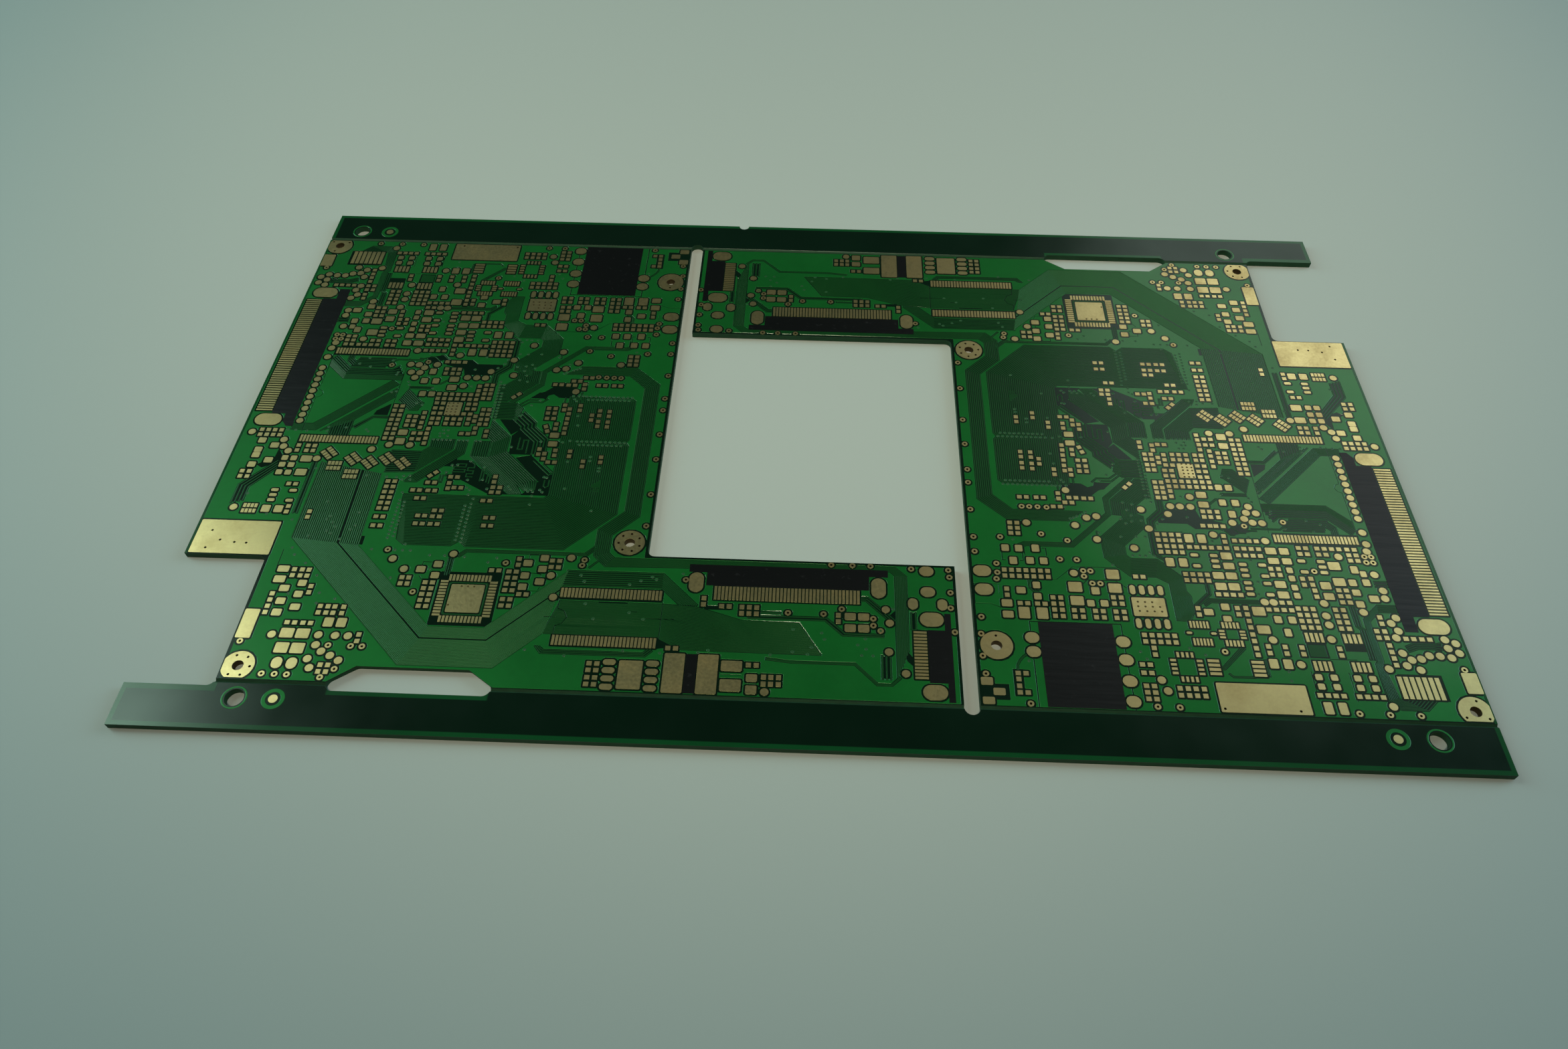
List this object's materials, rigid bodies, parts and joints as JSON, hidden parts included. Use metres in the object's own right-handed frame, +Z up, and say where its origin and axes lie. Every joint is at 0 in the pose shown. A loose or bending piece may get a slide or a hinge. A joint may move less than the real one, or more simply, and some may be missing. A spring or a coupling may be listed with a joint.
{
  "type": "bare circuit board",
  "caption": "Bare green circuit board panel: L-shaped boards turned about a square window, held in break-off rails, with gold lands and black ink fields",
  "frame": {"origin": "middle of the underside of the panel", "axes": "+X along the rails, +Y across them towards the far rail, +Z up out of the face with the lands"},
  "size_m": [0.1748, 0.1044, 0.001],
  "materials": {
    "laminate": "glass-epoxy laminate under glossy green solder mask",
    "plated": "copper with thin flat gold plating, pale and slightly matt",
    "ink": "black printed ink with a satin face"
  },
  "bodies": {
    "root": {"panel": "laminate", "rail_fiducials": "plated", "a_vias": "plated", "a_mount_lands": "plated", "a_ground_lands": "plated", "a_port_lands": "plated", "a_display_lands": "plated", "a_side_lands": "plated", "a_flash_lands": "plated", "a_memory_lands": "plated", "a_processor_lands": "plated", "a_driver_lands": "plated", "a_socket_lands": "plated", "a_battery_lands": "plated", "a_lamp_lands": "plated", "a_key_lands": "plated", "a_test_pads": "plated", "a_array_lands": "plated", "a_transistor_lands": "plated", "a_coil_lands": "plated", "a_power_chips": "plated", "a_radio_chips": "plated", "a_logic_chips": "plated", "a_arm_chips": "plated", "a_ink": "ink", "b_vias": "plated", "b_mount_lands": "plated", "b_ground_lands": "plated", "b_port_lands": "plated", "b_display_lands": "plated", "b_side_lands": "plated", "b_flash_lands": "plated", "b_memory_lands": "plated", "b_processor_lands": "plated", "b_driver_lands": "plated", "b_socket_lands": "plated", "b_battery_lands": "plated", "b_lamp_lands": "plated", "b_key_lands": "plated", "b_test_pads": "plated", "b_array_lands": "plated", "b_transistor_lands": "plated", "b_coil_lands": "plated", "b_power_chips": "plated", "b_radio_chips": "plated", "b_logic_chips": "plated", "b_arm_chips": "plated", "b_ink": "ink"}
  },
  "joints": []
}
